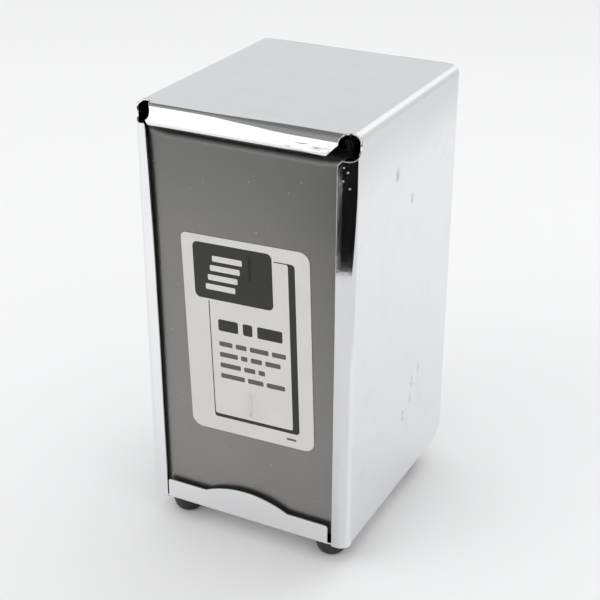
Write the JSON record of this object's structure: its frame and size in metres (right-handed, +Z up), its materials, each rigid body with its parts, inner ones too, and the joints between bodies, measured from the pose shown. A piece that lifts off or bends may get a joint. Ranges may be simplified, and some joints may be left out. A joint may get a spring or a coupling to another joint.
{
  "type": "napkin dispenser",
  "caption": "Upright bright steel box with a framed front opening, a raised front lip, rubber feet and a spring-loaded plate that pushes tall-fold napkins forward.",
  "frame": {"origin": "on the table, under the middle of the box's footprint", "axes": "+Z up; -Y is the open front that napkins are pulled from; +X is to the right seen from the front"},
  "size_m": [0.0952, 0.1068, 0.1907],
  "materials": {
    "body_chrome": "bright plated, lightly scuffed",
    "follower_grey": "satin grey, scuffed",
    "label_paper": "printed paper label, semi-matt",
    "spring_steel": "drawn wire, lightly oiled",
    "clip_zinc": "zinc plated",
    "rivet_steel": "plated, satin",
    "foot_rubber": "matt black"
  },
  "bodies": {
    "case": {"shell": "body_chrome", "chassis": "body_chrome", "spring_upper": "spring_steel", "spring_lower": "spring_steel", "spring_clip_upper_left": "clip_zinc", "spring_clip_upper_right": "clip_zinc", "spring_clip_lower_left": "clip_zinc", "spring_clip_lower_right": "clip_zinc", "rear_rivet_left_lower": "rivet_steel", "rear_rivet_right_lower": "rivet_steel", "rear_rivet_left_upper": "rivet_steel", "rear_rivet_right_upper": "rivet_steel", "rear_rivet_top_left": "rivet_steel", "rear_rivet_top_right": "rivet_steel", "spring_clip_upper_left_rivet": "rivet_steel", "spring_clip_upper_right_rivet": "rivet_steel", "spring_clip_lower_left_rivet": "rivet_steel", "spring_clip_lower_right_rivet": "rivet_steel", "foot_front_left": "foot_rubber", "foot_rivet_front_left": "rivet_steel", "foot_front_right": "foot_rubber", "foot_rivet_front_right": "rivet_steel", "foot_rear_left": "foot_rubber", "foot_rivet_rear_left": "rivet_steel", "foot_rear_right": "foot_rubber", "foot_rivet_rear_right": "rivet_steel"},
    "follower": {"follower_plate": "follower_grey", "refill_label": "label_paper"}
  },
  "joints": [
    {"name": "follower_slide", "type": "slide", "parent": "case", "child": "follower", "axis": [0, 1, 0], "range_m": [0, 0.088], "stiffness_N_per_m": 40, "springref_m": -0.06, "deforming": ["spring_upper", "spring_lower"]}
  ]
}
